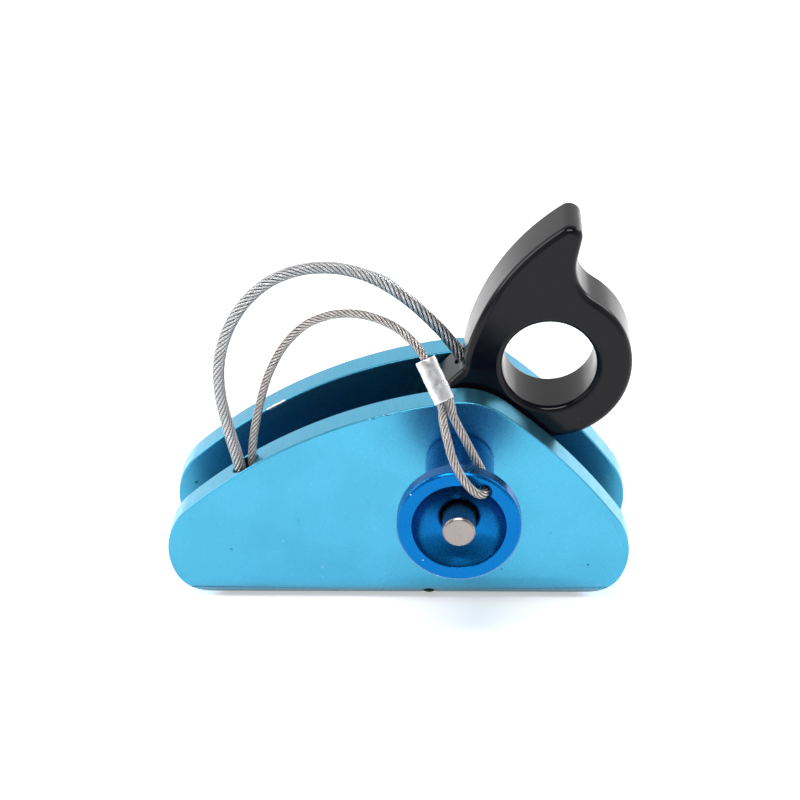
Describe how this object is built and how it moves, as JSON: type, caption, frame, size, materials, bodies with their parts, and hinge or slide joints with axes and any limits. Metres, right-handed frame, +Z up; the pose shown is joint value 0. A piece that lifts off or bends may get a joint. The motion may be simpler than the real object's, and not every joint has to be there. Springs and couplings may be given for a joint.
{
  "type": "rope ascender",
  "caption": "U-shaped rope clamp with a toothed cam that has a connector eye, a quick-release ball-lock pin, and wire tethers for cam and pin.",
  "frame": {"origin": "middle of the shell's flat base, half way along it and half way between the cheeks' outer faces", "axes": "+X along the rope, towards the cam's eye; +Y from the cheek with the pin's knob to the other cheek; +Z up, out of the open side of the channel"},
  "size_m": [0.1, 0.0653, 0.0865],
  "materials": {
    "cyan_anodised": "satin cyan anodised",
    "deep_blue_anodised": "deep blue anodised, turned",
    "black_coating": "smooth black coating",
    "stainless_steel": "turned stainless steel",
    "bush_bronze": "machined bronze",
    "black_oxide": "black oxide",
    "raw_aluminium": "crimped bare aluminium",
    "wire_rope": "clear-coated wire rope"
  },
  "bodies": {
    "shell": {"shell": "cyan_anodised", "base_set_screw": "black_oxide", "tether_anchor_plug": "raw_aluminium", "cam_tether": "wire_rope", "pin_tether": "wire_rope"},
    "cam": {"cam": "black_coating", "cam_bush": "bush_bronze", "cam_tether_stop": "raw_aluminium"},
    "pin": {"pin_knob": "deep_blue_anodised", "pin_shaft": "stainless_steel", "tether_ferrule": "raw_aluminium", "pin_tether_loop": "wire_rope", "button_spring": "stainless_steel"},
    "button": {"push_button": "stainless_steel", "spindle": "stainless_steel"},
    "upper_ball": {"lock_ball_upper": "stainless_steel"},
    "lower_ball": {"lock_ball_lower": "stainless_steel"}
  },
  "joints": [
    {"name": "cam_hinge", "type": "hinge", "parent": "shell", "child": "cam", "pos_m": [0.0134, 0, 0.0356], "axis": [0, 1, 0], "range_deg": [-60, 65], "deforming": ["cam_tether"]},
    {"name": "pin_slide", "type": "slide", "parent": "shell", "child": "pin", "axis": [0, -1, 0], "range_m": [0, 0.036], "deforming": ["pin_tether", "lock_ball_upper", "lock_ball_lower"]},
    {"name": "button_push", "type": "slide", "parent": "pin", "child": "button", "axis": [0, 1, 0], "range_m": [0, 0.003], "stiffness_N_per_m": 600, "springref_m": -0.002, "deforming": ["button_spring"]},
    {"name": "upper_ball_in", "type": "slide", "parent": "pin", "child": "upper_ball", "axis": [0, 0, -1], "range_m": [0, 0.001]},
    {"name": "lower_ball_in", "type": "slide", "parent": "pin", "child": "lower_ball", "axis": [0, 0, 1], "range_m": [0, 0.001]}
  ],
  "couplings": [
    {"joint": "upper_ball_in", "follows": "button_push", "ratio": 0.3333},
    {"joint": "lower_ball_in", "follows": "button_push", "ratio": 0.3333}
  ]
}
